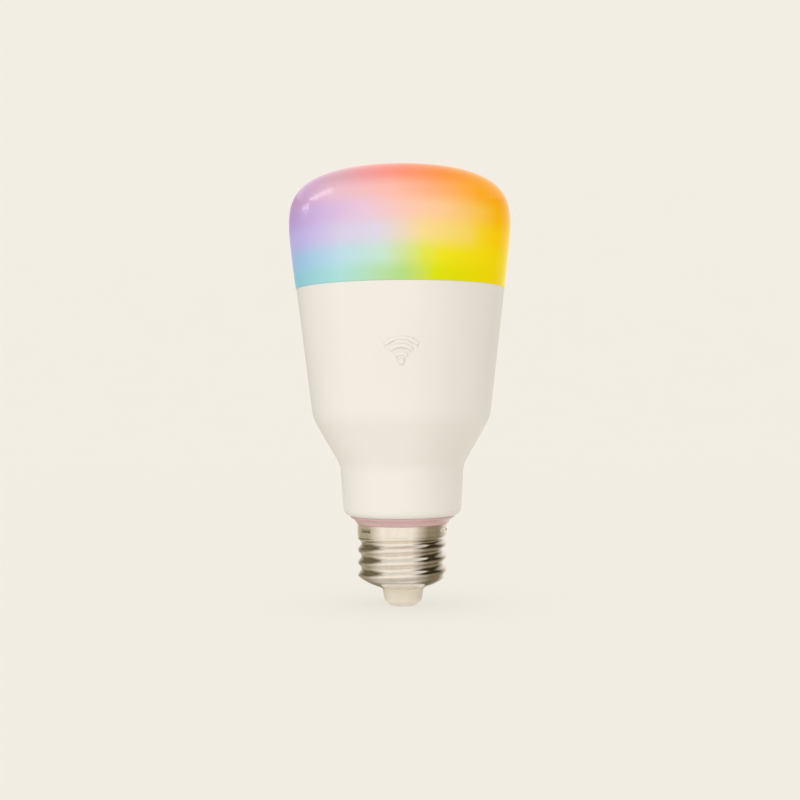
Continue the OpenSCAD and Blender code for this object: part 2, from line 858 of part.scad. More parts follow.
module varistor() {
    color("royalblue")
        difference() {
            translate([varistor_at.x, varistor_y + 1.5, varistor_at.y]) rotate([90, 0, 0])
                rotate_extrude($fn = 64)
                    polygon(outline([[0, 0, 0], [3.4, 0, 1.2], [3.4, 3, 1.2], [0, 3, 0]]));
            for (s = [-1, 1])
                translate([varistor_at.x + s * 2.5, varistor_y, varistor_at.y - 6])
                    cylinder(r = lead_r + 0.02, h = 6, $fn = 24);
        }
}

fuse_y = -1.1;

module fuse_resistor() {
    r = 1.65;
    color("palegreen")
        translate([fuse_at.x, fuse_y, fuse_at.y]) difference() {
            rotate_extrude($fn = 48)
                polygon(outline([
                    [0, 0, 0], [r, 0, 0.6], [r, 2, 0.5], [r - 0.3, 2.6, 0.5],
                    [r - 0.3, fuse_len - 2.6, 0.5], [r, fuse_len - 2, 0.5],
                    [r, fuse_len, 0.6], [0, fuse_len, 0]
                ]));
            for (z = [-1, fuse_len - 0.8])
                translate([0, 0, z]) cylinder(r = lead_r + 0.02, h = 1.8, $fn = 24);
        }
}

// Surface-mounted parts sit on the back of the board: [x, z, width, height, leads a side].
rectifier = [0, 36.5, 4.7, 4, 2];
chips = [[7.2, 44.6, 4.9, 3.9, 4], [-6.5, 54, 9.9, 3.9, 8], [11.6, 69.6, 4.9, 3.9, 4]];
chip_h = 1.45;
chip_lift = 0.12;
diode_places = [[-8.4, 37.4], [-8.4, 43.4], [12.4, 56]];
resistor_places = concat(
    [for (i = [0:4]) [-12.6 + i * 2.4, 59.6]],
    [for (i = [0:3]) [3.6 + i * 2.6, 74.2]],
    [for (i = [0:2]) [6.6 + i * 2.4, 39.2]]
);
capacitor_places = concat(
    [for (i = [0:3]) [-12 + i * 3, 74.1]],
    [for (i = [0:2]) [5.4 + i * 3.2, 61.6]],
    [[1.6, 43.6], [-2.2, 43.6]]
);

module chip_body(c) {
    block([c[2], chip_h, c[3]], [c.x, board_back_y - chip_lift - chip_h, c.y - c[3] / 2]);
}

// Gull-wing leads along the upper and lower sides of a chip.
module chip_wings(c) {
    step = c[2] / c[4];
    t = 0.2;
    w = 0.42;
    mid = chip_lift + chip_h / 2;
    for (i = [0:c[4] - 1], s = [0, 1])
        translate([c.x + pin_x(i, c[4], step), board_back_y, c.y]) mirror([0, 0, s])
            translate([-w / 2, 0, c[3] / 2]) rotate([90, 0, 90]) linear_extrude(w)
                polygon([
                    [-mid - t / 2, 0], [-mid - t / 2, 0.6], [-t, 0.8], [-t, 1.5],
                    [0, 1.5], [0, 0.62], [-mid + t / 2, 0.42], [-mid + t / 2, 0]
                ]);
}

module bridge_rectifier() {
    color("dimgrey") chip_body(rectifier);
}

module control_chips() {
    color("dimgrey") for (c = chips) chip_body(c);
}

module chip_leads() {
    color("silver") for (c = concat([rectifier], chips)) chip_wings(c);
}

module diodes() {
    color("dimgrey")
        for (p = diode_places) block([4.2, 2, 2.5], [p.x, board_back_y - 2, p.y - 1.25]);
}

// A small chip part: its body lies between two metal ends.
module smd_body(p, length, width, h) {
    block([length * 0.6, h, width], [p.x, board_back_y - h, p.y - width / 2]);
}

module smd_ends(p, length, width, h) {
    for (s = [-1, 1])
        block([length * 0.2, h, width], [p.x + s * length * 0.4, board_back_y - h, p.y - width / 2]);
}

module smd_resistors() {
    color("black") for (p = resistor_places) smd_body(p, 1.6, 0.8, 0.45);
}

module smd_capacitors() {
    color("tan") for (p = capacitor_places) smd_body(p, 2, 1.25, 1);
}

module smd_terminals() {
    color("silver") {
        for (p = resistor_places) smd_ends(p, 1.6, 0.8, 0.45);
        for (p = capacitor_places) smd_ends(p, 2, 1.25, 1);
    }
}

// A lead from a point, with a bend, to the hole at [x, z] and out of the back of the board.
module bent_lead(from, to) {
    y = from.y;
    s = sign(from.z - to.y);
    b = 0.5;
    sweep([
        from, [from.x, y, to.y + s * b], [to.x, y - b * 0.3, to.y + s * b * 0.3],
        [to.x, y - b, to.y], [to.x, board_back_y - 0.8, to.y]
    ], lead_r, 6);
}

module straight_lead(to, y) {
    bar_y(to.x, to.y, lead_r, board_back_y - 0.8, y);
}

module component_leads() {
    color("silver") {
        for (c = capacitors, s = [-1, 1])
            let (x = c.x + s * lead_spacing) bent_lead([x, can_y, c.y + bung_h - 0.02], [x, c.y - 1.4]);
        for (p = varistor_leads) bent_lead([p.x, varistor_y, varistor_at.y - 2.2], p);
        bent_lead([fuse_at.x, fuse_y, fuse_at.y + 0.7], fuse_leads[0]);
        bent_lead([fuse_at.x, fuse_y, fuse_at.y + fuse_len - 0.7], fuse_leads[1]);
        for (p = concat(choke_leads, film_leads)) straight_lead(p, board_front_y + 0.9);
        for (p = transformer_leads) straight_lead(p, transformer_at.y - 4);
    }
}

// A solder fillet round each lead on the back of the board.
module fillet(x, z, hole) {
    h = 0.7;
    translate([x, board_back_y, z]) rotate([90, 0, 0]) difference() {
        cylinder(r1 = hole + 0.55, r2 = hole + 0.15, h = h, $fn = 24);
        translate([0, 0, -1]) cylinder(r = hole + 0.02, h = 3, $fn = 24);
    }
}

module solder_joints() {
    color("lightgrey") {
        for (p = round_leads) fillet(p.x, p.y, lead_r);
        fillet(live_hole.x, live_hole.y, live_r);
        fillet(neutral_hole.x, neutral_hole.y, neutral_r);
        for (i = [0:radio_pins - 1])
            fillet(pin_x(i, radio_pins, radio_pin_step), radio_pin_z, radio_pin_w * 0.75);
        translate([0, board_front_y + board_back_y, 0]) mirror([0, 1, 0])
            for (i = [0:led_pins - 1]) fillet(pin_x(i, led_pins, pin_step), header_z, pin_w * 0.75);
        translate([0, 0, contact_top_z]) cylinder(r1 = 1.1, r2 = 0.7, h = 0.8, $fn = 32);
    }
}

// Insulated lead from the board down to the contact's shank.
module live_lead() {
    color("firebrick")
        sweep([
            [live_hole.x, board_back_y - 0.6, live_hole.y], [live_hole.x, -3, live_hole.y],
            [-6.2, -1.9, 15.2], [-6, -1, 14.6], [-5.3, -0.4, 13.8], [-4.2, -0.1, 13.1],
            [-3, 0, 12.8], [-1.8, 0, 12.6], [-0.8, 0, 12.2], [-0.1, 0, 11.6], [0, 0, 11], [0, 0, 10.42]
        ], live_r);
}

// Bare lead from the board, round the spigot's end and up against the screw shell.
module neutral_lead() {
    x = root_d / 2 - sheet - neutral_r - 0.08;
    color("silver")
        sweep([
            [neutral_hole.x, board_back_y - 0.6, neutral_hole.y], [neutral_hole.x, -2.6, neutral_hole.y],
            [6.6, -1.4, 14.3], [7.3, -0.6, 13.2], [8, -0.2, 12], [8.6, 0, 10.9], [9.3, 0, 10.1],
            [10.1, 0, 9.9], [10.8, 0, 10.1], [x, 0, 10.9], [x, 0, 12], [x, 0, 14], [x, 0, 16]
        ], neutral_r);
}

diffuser();
diffuser_sealant();
housing();
heat_spreader();
thermal_pad();
collar_ring();
screw_shell();
cap_insulator();
centre_contact();
led_board();
led_board_screws();
white_led_packages();
warm_led_phosphors();
cool_led_phosphors();
rgb_led_packages();
rgb_led_lenses();
led_socket();
led_header();
led_header_pins();
radio_board();
radio_chip();
radio_shield();
radio_antenna();
radio_header();
radio_pins();
driver_board();
capacitor_cans();
capacitor_sleeves();
capacitor_bungs();
transformer_core();
transformer_bobbin();
transformer_winding();
choke_cores();
choke_windings();
film_capacitor();
varistor();
fuse_resistor();
bridge_rectifier();
control_chips();
chip_leads();
diodes();
smd_resistors();
smd_capacitors();
smd_terminals();
component_leads();
solder_joints();
live_lead();
neutral_lead();
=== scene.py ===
"""Smart light bulb: finished meshes, materials, stage, lights and camera around the CAD frame.

Outlines are in millimetres, as (radius, height) on the bulb's axis, and become metres in the
meshes. +Z runs up the axis, the origin is the contact's end face, and -Y is the front.
"""

import json
import math

import bmesh
import bpy
from mathutils import Matrix, Vector, noise


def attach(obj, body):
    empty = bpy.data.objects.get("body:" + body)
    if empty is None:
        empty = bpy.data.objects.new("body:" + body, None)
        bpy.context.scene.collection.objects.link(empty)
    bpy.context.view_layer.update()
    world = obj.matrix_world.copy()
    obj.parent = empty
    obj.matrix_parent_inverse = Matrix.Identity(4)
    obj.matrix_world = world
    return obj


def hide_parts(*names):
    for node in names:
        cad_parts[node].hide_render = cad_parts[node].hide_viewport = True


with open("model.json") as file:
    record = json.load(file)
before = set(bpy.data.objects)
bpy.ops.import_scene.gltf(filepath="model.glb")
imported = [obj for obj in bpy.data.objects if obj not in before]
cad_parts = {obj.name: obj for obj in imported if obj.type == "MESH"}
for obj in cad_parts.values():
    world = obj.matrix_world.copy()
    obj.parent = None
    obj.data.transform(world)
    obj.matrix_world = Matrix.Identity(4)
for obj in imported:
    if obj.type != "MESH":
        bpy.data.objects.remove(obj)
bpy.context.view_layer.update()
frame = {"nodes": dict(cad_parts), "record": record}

MM = 0.001
SEGMENTS = 256
SHARP_ANGLE = math.radians(35)

# Diffuser
DOME_R = 32
CROWN_Z = 125.5
WIDEST_Z = 108.5
CROWN_POWER = 3
SEAM_Z = 91.2
FOOT_R = 30.2
DIFFUSER_WALL = 1.6
SKIRT_Z = 86.1
SKIRT_WALL = 1.2
SEALANT = 0.4

# Housing
SHOULDER_Z = 54.1
WAIST_Z = 40.5
NECK_Z = 26.05
NECK_FLOOR_Z = 28.05
MARK_Z = 69.6
MARK_RAISE = 0.2
SPIGOT_R = 11.6
SPIGOT_IN_R = 10
SPIGOT_Z = 9.3

# Screw shell
CREST_R = 13.075
ROOT_R = 12.05
THREAD_DEPTH = 0.965
PITCH = 3.629
CREST_Z = 17.92
THREAD_Z = 7.4
BAND_Z = 20.5
SHELL_TOP_Z = 23.7
SHEET = 0.35

# Chokes on the driver board, as (x, z, radius, length)
CHOKES = ((8.5, 49.6, 4.1, 9.2), (-12.4, 72, 3.9, 8))
CHOKE_Y = -3.1


# ---- Outlines --------------------------------------------------------------


def rounded(corners, steps=8):
    """The closed outline through corners (r, z, corner radius), as points (r, z)."""
    points = []
    for i, (r, z, radius) in enumerate(corners):
        here = Vector((r, z))
        if radius == 0:
            points.append((r, z))
            continue
        before = Vector(corners[i - 1][:2]) - here
        after = Vector(corners[(i + 1) % len(corners)][:2]) - here
        half = before.angle(after) / 2
        before.normalize()
        after.normalize()
        start = here + before * radius / math.tan(half)
        centre = here + (before + after).normalized() * radius / math.sin(half)
        arm = start - centre
        turn = math.pi - 2 * half
        if before.x * after.y - before.y * after.x > 0:
            turn = -turn
        for k in range(steps + 1):
            a = turn * k / steps
            points.append((
                centre.x + arm.x * math.cos(a) - arm.y * math.sin(a),
                centre.y + arm.x * math.sin(a) + arm.y * math.cos(a),
            ))
    return points


def arc(r, z, radius, start, end, steps=5):
    """Points on an arc round (r, z), from one angle to another in degrees."""
    angles = [math.radians(start + (end - start) * k / steps) for k in range(steps + 1)]
    return [(r + radius * math.cos(a), z + radius * math.sin(a)) for a in angles]


def filled(points, longest=1.5):
    """The same outline with its long sides cut up, so that no quad is much longer than wide."""
    dense = []
    for (r1, z1), (r2, z2) in zip(points, points[1:]):
        parts = max(1, math.ceil(math.hypot(r2 - r1, z2 - z1) / longest))
        dense += [(r1 + (r2 - r1) * k / parts, z1 + (z2 - z1) * k / parts) for k in range(parts)]
    return dense + [points[-1]]


def filled_ring(points):
    """The same for a closed outline, with its last side cut up too."""
    return filled(points + points[:1])[:-1]


def cone_in_r(z):
    """Inside radius of the housing's cone at height z."""
    return 23.75 + 4.4 * (z - SHOULDER_Z) / (SEAM_Z - SHOULDER_Z)


def cone_out_r(z):
    """Outside radius of the housing's cone at height z."""
    return 25.55 + 4.45 * (z - SHOULDER_Z) / (SEAM_Z - SHOULDER_Z)


def dome(inset, low_z, flare_steps=22, crown_steps=56):
    """The dome's half outline from low_z up to the axis: a flare, then a superellipse."""
    r = DOME_R - inset
    h = CROWN_Z - WIDEST_Z - inset
    side = []
    for i in range(flare_steps + 1):
        z = low_z + (WIDEST_Z - low_z) * i / flare_steps
        fall = ((WIDEST_Z - z) / (WIDEST_Z - SEAM_Z)) ** 1.3
        side.append((r - (DOME_R - FOOT_R) * fall, z))
    for i in range(1, crown_steps):
        a = math.pi / 2 * i / crown_steps
        side.append((
            r * math.cos(a) ** (2 / CROWN_POWER),
            WIDEST_Z + h * math.sin(a) ** (2 / CROWN_POWER),
        ))
    return side + [(0, WIDEST_Z + h)]


# ---- Meshes ----------------------------------------------------------------


def new_object(name, mesh):
    made = bpy.data.objects.new(name, mesh)
    bpy.context.scene.collection.objects.link(made)
    return made


def finished(name, bm, material, sharp=SHARP_ANGLE):
    """The mesh in bm, in millimetres, as a smooth-shaded object with its real edges sharp."""
    bmesh.ops.recalc_face_normals(bm, faces=bm.faces)
    bmesh.ops.scale(bm, vec=(MM, MM, MM), verts=bm.verts)
    mesh = bpy.data.meshes.new(name)
    bm.to_mesh(mesh)
    bm.free()
    mesh.polygons.foreach_set("use_smooth", [True] * len(mesh.polygons))
    mesh.set_sharp_from_angle(angle=sharp)
    mesh.materials.append(material)
    return new_object(name, mesh)


def add_grid(bm, rows, closed):
    """Quads between rows of points round the axis; closed also joins the last row to the first."""
    made = [[bm.verts.new(p) for p in row] for row in rows]
    pairs = list(zip(made, made[1:])) + ([(made[-1], made[0])] if closed else [])
    for low, high in pairs:
        for k in range(max(len(low), len(high))):
            m = (k + 1) % max(len(low), len(high))
            if len(low) == 1:
                bm.faces.new((low[0], high[m], high[k]))
            elif len(high) == 1:
                bm.faces.new((low[k], low[m], high[0]))
            else:
                bm.faces.new((low[k], low[m], high[m], high[k]))


def lathe(bm, outline, closed=True, segments=SEGMENTS):
    """Turns an outline round the axis. A point on the axis becomes a single pole."""
    rows = []
    for r, z in outline:
        if r < 1e-6:
            rows.append([(0, 0, z)])
        else:
            turns = [2 * math.pi * k / segments for k in range(segments)]
            rows.append([(r * math.cos(a), r * math.sin(a), z) for a in turns])
    add_grid(bm, rows, closed)


def turned(name, corners, material, steps=8, closed=True):
    """A closed ring, or a solid turned piece where the outline starts and ends on the axis."""
    bm = bmesh.new()
    points = rounded(corners, steps)
    lathe(bm, filled_ring(points) if closed else filled(points), closed)
    return finished(name, bm, material)


def stand_for(piece, node):
    """Shows the piece in place of the CAD node."""
    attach(piece, "root")
    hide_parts(node)


# ---- Materials -------------------------------------------------------------

# Places of the factor and the two colours among a Mix node's sockets
MIX_COLOUR_SOCKETS = (0, 6, 7)
MIX_COLOUR_OUTPUT = 2
# Soft noise has few values outside this range
NOISE_RANGE = (0.3, 0.7)


def shade(colour, amount):
    """The colour, made darker or lighter."""
    return tuple(min(1.0, c * amount) for c in colour)


class Finish:
    """A Principled material whose patterns are sized in millimetres on the object itself."""

    def __init__(self, name, roughness, metallic=0.0, specular=0.5, coat=0.0):
        self.material = bpy.data.materials.new(name)
        self.material.use_nodes = True
        self.tree = self.material.node_tree
        self.shader = self.tree.nodes["Principled BSDF"]
        self.shader.inputs["Roughness"].default_value = roughness
        self.shader.inputs["Metallic"].default_value = metallic
        self.shader.inputs["Specular IOR Level"].default_value = specular
        self.shader.inputs["Coat Weight"].default_value = coat
        self.shader.inputs["Coat Roughness"].default_value = 0.12
        coordinates = self.tree.nodes.new("ShaderNodeTexCoord")
        self.place = coordinates.outputs["Object"]

    def node(self, kind, output, inputs=None, **settings):
        """An output of a new node, whose inputs are numbers or other nodes' outputs."""
        made = self.tree.nodes.new(kind)
        for key, value in settings.items():
            setattr(made, key, value)
        for key, value in (inputs or {}).items():
            if isinstance(value, bpy.types.NodeSocket):
                self.tree.links.new(value, made.inputs[key])
            else:
                made.inputs[key].default_value = value
        return made.outputs[output]

    def point(self, stretch=(1, 1, 1)):
        """The place on the object in millimetres, stretched along each axis."""
        scale = [s / MM for s in stretch]
        return self.node("ShaderNodeMapping", "Vector", {"Vector": self.place, "Scale": scale})

    def noise(self, scale, stretch=(1, 1, 1), detail=3.0):
        """Soft noise of about 1 / scale millimetres."""
        inputs = {"Vector": self.point(stretch), "Scale": scale, "Detail": detail}
        return self.node("ShaderNodeTexNoise", "Fac", inputs)

    def axes(self):
        """The place on the object along X, Y and Z, in millimetres."""
        made = self.tree.nodes.new("ShaderNodeSeparateXYZ")
        self.tree.links.new(self.point(), made.inputs["Vector"])
        return tuple(made.outputs[axis] for axis in "XYZ")

    def cells(self, scale, **settings):
        """Distance to the nearest of scattered points, about 1 / scale millimetres apart."""
        inputs = {"Vector": self.point(), "Scale": scale}
        return self.node("ShaderNodeTexVoronoi", "Distance", inputs, **settings)

    def bands(self, scale, direction, distortion=0.0):
        """Waves across a direction."""
        inputs = {"Vector": self.point(), "Scale": scale, "Distortion": distortion}
        return self.node("ShaderNodeTexWave", "Fac", inputs, bands_direction=direction)

    def maths(self, operation, *values):
        """One step of arithmetic on numbers or outputs."""
        return self.node("ShaderNodeMath", "Value", dict(enumerate(values)), operation=operation)

    def ranged(self, value, source, result, smooth=False):
        """The value moved from the source range to the result range, and kept within it."""
        inputs = {
            "Value": value, "From Min": source[0], "From Max": source[1],
            "To Min": result[0], "To Max": result[1],
        }
        kind = "SMOOTHSTEP" if smooth else "LINEAR"
        return self.node("ShaderNodeMapRange", "Result", inputs, interpolation_type=kind)

    def ramp(self, value, stops):
        """Colour along value, from stops of (position, colour)."""
        made = self.tree.nodes.new("ShaderNodeValToRGB")
        self.tree.links.new(value, made.inputs["Fac"])
        elements = made.color_ramp.elements
        while len(elements) < len(stops):
            elements.new(0.5)
        for element, (position, colour) in zip(elements, stops):
            element.position = position
            element.color = (*colour, 1)
        return made.outputs["Color"]

    def mixed(self, factor, low, high):
        """The colour low where the factor is 0, and high where it is 1."""
        made = self.tree.nodes.new("ShaderNodeMix")
        made.data_type = "RGBA"
        for socket, value in zip(MIX_COLOUR_SOCKETS, (factor, low, high)):
            self.tree.links.new(value, made.inputs[socket])
        return made.outputs[MIX_COLOUR_OUTPUT]

    def set(self, socket, value):
        """Drives one of the shader's sockets with a pattern."""
        self.tree.links.new(value, self.shader.inputs[socket])

    def relief(self, height, depth):
        """Raises the surface by up to depth millimetres where height is 1."""
        inputs = {"Height": height, "Distance": depth * MM, "Strength": 1.0}
        self.set("Normal", self.node("ShaderNodeBump", "Normal", inputs))


def moulded(name, colour, roughness, grain=1.2, depth=0.004, mottle=0.04, **shader):
    """Moulded plastic, rubber or ceramic: faint flow marks under a fine eroded grain."""
    finish = Finish(name, roughness, **shader)
    flow = finish.noise(0.09, stretch=(1, 1, 0.35))
    tones = [(0.3, shade(colour, 1 - mottle)), (0.7, shade(colour, 1 + mottle))]
    finish.set("Base Color", finish.ramp(flow, tones))
    fine = finish.noise(grain, detail=4.0)
    wear = finish.ranged(fine, NOISE_RANGE, (roughness - 0.05, roughness + 0.07))
    finish.set("Roughness", wear)
    finish.relief(fine, depth)
    return finish.material


def metal(name, colour, roughness, streak=(0.05, 0.05, 6), depth=0.002, dull=0.9, coat=0.0):
    """Drawn or rolled metal: streaks along its working direction and a few dull spots."""
    finish = Finish(name, roughness, metallic=1.0, coat=coat)
    streaks = finish.noise(1.0, stretch=streak, detail=5.0)
    spots = finish.noise(0.5, detail=5.0)
    tones = [(0.35, shade(colour, dull)), (0.6, colour)]
    finish.set("Base Color", finish.ramp(spots, tones))
    wear = finish.ranged(streaks, NOISE_RANGE, (roughness - 0.04, roughness + 0.08))
    finish.set("Roughness", wear)
    finish.relief(streaks, depth)
    return finish.material


def board(name, mask, trace):
    """Solder mask over copper: traces and pours show through as lighter, raised paths."""
    finish = Finish(name, 0.32, coat=0.4)
    near, next_near = (
        finish.cells(0.4, feature=feature, distance="CHEBYCHEV") for feature in ("F1", "F2")
    )
    gap = finish.maths("SUBTRACT", next_near, near)
    lines = finish.ranged(gap, (0.05, 0.08), (1, 0), smooth=True)
    pours = finish.ranged(finish.cells(0.14, distance="CHEBYCHEV"), (0.30, 0.33), (1, 0))
    paths = finish.maths("MAXIMUM", lines, pours)
    weave = finish.bands(1.6, "X", distortion=0.4)
    under = finish.ramp(weave, [(0.2, shade(mask, 0.88)), (0.8, mask)])
    over = finish.ramp(weave, [(0.2, trace), (0.8, shade(trace, 1.08))])
    finish.set("Base Color", finish.mixed(paths, under, over))
    finish.relief(paths, 0.03)
    return finish.material


def gel(name, colour, deep):
    """A cured drop of silicone or resin, grainy with phosphor."""
    finish = Finish(name, 0.22, coat=0.5)
    grains = finish.cells(9.0)
    finish.set("Base Color", finish.ramp(grains, [(0.1, deep), (0.6, colour)]))
    finish.relief(finish.noise(1.5), 0.02)
    return finish.material


def printed_sleeve(name, colour, stripe):
    """Shrink sleeve with one lengthwise stripe that marks the negative lead."""
    finish = Finish(name, 0.28, coat=0.4)
    side = finish.bands(0.055, "X")
    finish.set("Base Color", finish.ramp(side, [(0.9, colour), (0.94, stripe)]))
    finish.relief(finish.noise(0.6, stretch=(1, 1, 0.2)), 0.02)
    return finish.material


# Colours of the lit dome at several heights, as stops (x, colour) from -X to +X: painted light, the
# glow of the LEDs inside set by place, with painted shade darkening its sides. Its crown runs from
# violet over rose to orange, and its lower edge from blue over green to yellow.
GLOW_BANDS = (
    (93, (
        (-28, (0.29, 0.60, 0.70)), (-16, (0.41, 0.73, 0.71)), (-5, (0.46, 0.73, 0.38)),
        (1, (0.46, 0.71, 0.22)), (9, (0.70, 0.76, 0.0)), (26, (0.90, 0.69, 0.0)),
    )),
    (98, (
        (-27, (0.36, 0.56, 0.79)), (-16, (0.48, 0.72, 0.82)), (-5, (0.56, 0.78, 0.66)),
        (1, (0.62, 0.77, 0.32)), (6, (0.74, 0.79, 0.08)), (11, (0.86, 0.78, 0.01)),
        (26, (0.92, 0.70, 0.0)),
    )),
    (104, (
        (-27, (0.52, 0.46, 0.80)), (-16, (0.68, 0.61, 0.82)), (-6, (0.72, 0.67, 0.80)),
        (1, (0.83, 0.68, 0.54)), (6, (0.93, 0.71, 0.28)), (18, (0.95, 0.68, 0.13)),
        (22, (0.94, 0.66, 0.02)), (26, (0.98, 0.62, 0.0)),
    )),
    (110, (
        (-29, (0.51, 0.35, 0.66)), (-21, (0.63, 0.45, 0.76)), (-10, (0.79, 0.56, 0.73)),
        (1, (0.93, 0.57, 0.48)), (12, (0.98, 0.60, 0.29)), (21, (0.97, 0.56, 0.09)),
        (27, (0.98, 0.49, 0.0)),
    )),
    (115.5, (
        (-26, (0.56, 0.34, 0.56)), (-19, (0.78, 0.50, 0.63)), (-10, (0.86, 0.50, 0.53)),
        (-1, (0.97, 0.49, 0.39)), (8, (0.99, 0.43, 0.22)), (18, (1.0, 0.42, 0.05)),
        (22, (0.98, 0.40, 0.0)),
    )),
    (120.3, (
        (-28, (0.54, 0.33, 0.61)), (-16, (0.69, 0.37, 0.43)), (-9, (0.85, 0.32, 0.33)),
        (1, (0.97, 0.29, 0.18)), (12, (0.96, 0.30, 0.04)), (24, (0.96, 0.39, 0.0)),
    )),
)
GLOW_EMISSION = 0.45
# How dark the painted glow is where it stands in for the base colour
PAINTED_GLOW_BASE_VALUE = 0.55


def lit_diffuser(name):
    """Milky plastic lit from inside: the glow is painted by place as emission, and darker as base
    colour.
    """
    finish = Finish(name, 0.19, specular=0.12)
    x, _, z = finish.axes()
    across = finish.ranged(x, (-DOME_R, DOME_R), (0, 1))
    colour, below = None, None
    for height, stops in GLOW_BANDS:
        band = finish.ramp(across, [((at + DOME_R) / (2 * DOME_R), c) for at, c in stops])
        if colour is None:
            colour = band
        else:
            rise = finish.ranged(z, (below, height), (0, 1), smooth=True)
            colour = finish.mixed(rise, colour, band)
        below = height
    # Base colour is the painted glow made darker: painted light, not the plastic's own milky colour
    glow_in_base_colour = finish.node("ShaderNodeHueSaturation", "Color", {"Color": colour, "Value": PAINTED_GLOW_BASE_VALUE})
    finish.set("Base Color", glow_in_base_colour)
    finish.set("Emission Color", colour)
    finish.shader.inputs["Emission Strength"].default_value = GLOW_EMISSION
    grain = finish.noise(2.5, detail=3.0)
    finish.set("Roughness", finish.ranged(grain, NOISE_RANGE, (0.17, 0.21)))
    finish.relief(grain, 0.001)
    return finish.material


WARM_WHITE = (0.82, 0.797, 0.765)
DUSTY_PINK = (0.65, 0.43, 0.45)
NICKEL = (0.88, 0.825, 0.755)
CREAM = (0.77, 0.71, 0.61)

FINISHES = {
    "diffuser_plastic": lit_diffuser("diffuser_plastic"),
    "sealant": moulded("sealant", (0.88, 0.88, 0.86), 0.5, grain=0.5, depth=0.02),
    "housing_plastic": moulded(
        "housing_plastic", WARM_WHITE, 0.42, grain=3.0, depth=0.002, mottle=0.012, specular=0.4
    ),
    "collar_plastic": moulded(
        "collar_plastic", DUSTY_PINK, 0.3, grain=2.0, depth=0.003, mottle=0.05, coat=0.2
    ),
    "aluminium": metal("aluminium", (0.80, 0.81, 0.82), 0.34, streak=(0.4, 0.4, 5)),
    "thermal_pad": moulded("thermal_pad", (0.42, 0.45, 0.48), 0.7, depth=0.02),
    "nickel_plate": metal("nickel_plate", NICKEL, 0.13, streak=(0.04, 0.04, 7), dull=0.94),
    "solder": metal("solder", (0.66, 0.66, 0.65), 0.24, streak=(1, 1, 1), depth=0.01),
    "insulator_plastic": moulded(
        "insulator_plastic", CREAM, 0.34, grain=1.5, depth=0.004, mottle=0.05, coat=0.2
    ),
    "led_board_enamel": board("led_board_enamel", (0.90, 0.90, 0.88), (0.94, 0.94, 0.92)),
    "steel": metal("steel", (0.60, 0.60, 0.61), 0.3, streak=(1, 1, 1), depth=0.004),
    "led_package": moulded("led_package", (0.93, 0.93, 0.91), 0.45),
    "warm_phosphor": gel("warm_phosphor", (0.93, 0.50, 0.08), (0.80, 0.30, 0.03)),
    "cool_phosphor": gel("cool_phosphor", (0.92, 0.80, 0.20), (0.80, 0.60, 0.08)),
    "clear_epoxy": gel("clear_epoxy", (0.78, 0.84, 0.86), (0.60, 0.66, 0.70)),
    "white_nylon": moulded("white_nylon", (0.86, 0.85, 0.79), 0.45),
    "black_nylon": moulded("black_nylon", (0.03, 0.03, 0.035), 0.5, mottle=0.2),
    "gold_pin": metal("gold_pin", (0.86, 0.62, 0.24), 0.2, streak=(2, 2, 0.3)),
    "radio_board": board("radio_board", (0.012, 0.03, 0.11), (0.03, 0.07, 0.20)),
    "driver_board": board("driver_board", (0.02, 0.16, 0.06), (0.05, 0.28, 0.10)),
    "copper": metal("copper", (0.80, 0.36, 0.17), 0.24, streak=(3, 3, 3), coat=0.5),
    "tin_shield": metal("tin_shield", (0.74, 0.74, 0.73), 0.28, streak=(4, 1, 0.3)),
    "sleeve_film": printed_sleeve("sleeve_film", (0.012, 0.02, 0.09), (0.62, 0.64, 0.66)),
    "bung_rubber": moulded("bung_rubber", (0.025, 0.025, 0.025), 0.7, mottle=0.2),
    "ferrite": moulded("ferrite", (0.05, 0.05, 0.055), 0.55, grain=2.5, depth=0.02, mottle=0.2),
    "bobbin_plastic": moulded("bobbin_plastic", (0.03, 0.032, 0.036), 0.45, mottle=0.2),
    "winding_tape": moulded("winding_tape", (0.88, 0.60, 0.06), 0.25, grain=0.8, coat=0.4),
    "film_case": moulded("film_case", (0.70, 0.44, 0.08), 0.4, mottle=0.08),
    "varistor_epoxy": moulded("varistor_epoxy", (0.03, 0.12, 0.45), 0.25, depth=0.02, coat=0.4),
    "resistor_paint": moulded("resistor_paint", (0.28, 0.52, 0.36), 0.4, depth=0.02),
    "smd_black": moulded("smd_black", (0.03, 0.03, 0.03), 0.3, mottle=0.2),
    "smd_tan": moulded("smd_tan", (0.42, 0.27, 0.14), 0.4, mottle=0.1),
    "tinned": metal("tinned", (0.74, 0.74, 0.73), 0.25, streak=(2, 2, 0.4)),
    "wire_insulation": moulded("wire_insulation", (0.55, 0.02, 0.02), 0.4, mottle=0.08),
}


def paint_cad_nodes():
    """Gives every CAD node the finish of its material slot."""
    for part in frame["record"]["subparts"]:
        node = frame["nodes"][part["node"]]
        finish = FINISHES[part["material_slot"]]
        if not node.material_slots:
            node.data.materials.append(finish)
        for slot in node.material_slots:
            slot.material = finish


# ---- Pieces ----------------------------------------------------------------


def make_diffuser():
    """One shell: the dome outside and inside, a ledge, and the skirt that goes into the housing."""
    skirt_out = cone_in_r(SEAM_Z) - SEALANT
    skirt_low = cone_in_r(SKIRT_Z) - SEALANT
    ledge_z = SEAM_Z + DIFFUSER_WALL
    edge = 0.25
    tip = 0.4
    chain = dome(0, SEAM_Z + edge)[::-1]
    chain += arc(FOOT_R - edge, SEAM_Z + edge, edge, 0, -90)
    chain += [(skirt_out, SEAM_Z)]
    chain += arc(skirt_low - tip, SKIRT_Z + tip, tip, 0, -90)
    chain += arc(skirt_low - SKIRT_WALL + tip, SKIRT_Z + tip, tip, -90, -180)
    chain += [(skirt_out - SKIRT_WALL, ledge_z)]
    chain += dome(DIFFUSER_WALL, ledge_z)
    bm = bmesh.new()
    lathe(bm, filled(chain), closed=False)
    return finished("diffuser_shell", bm, FINISHES["diffuser_plastic"])


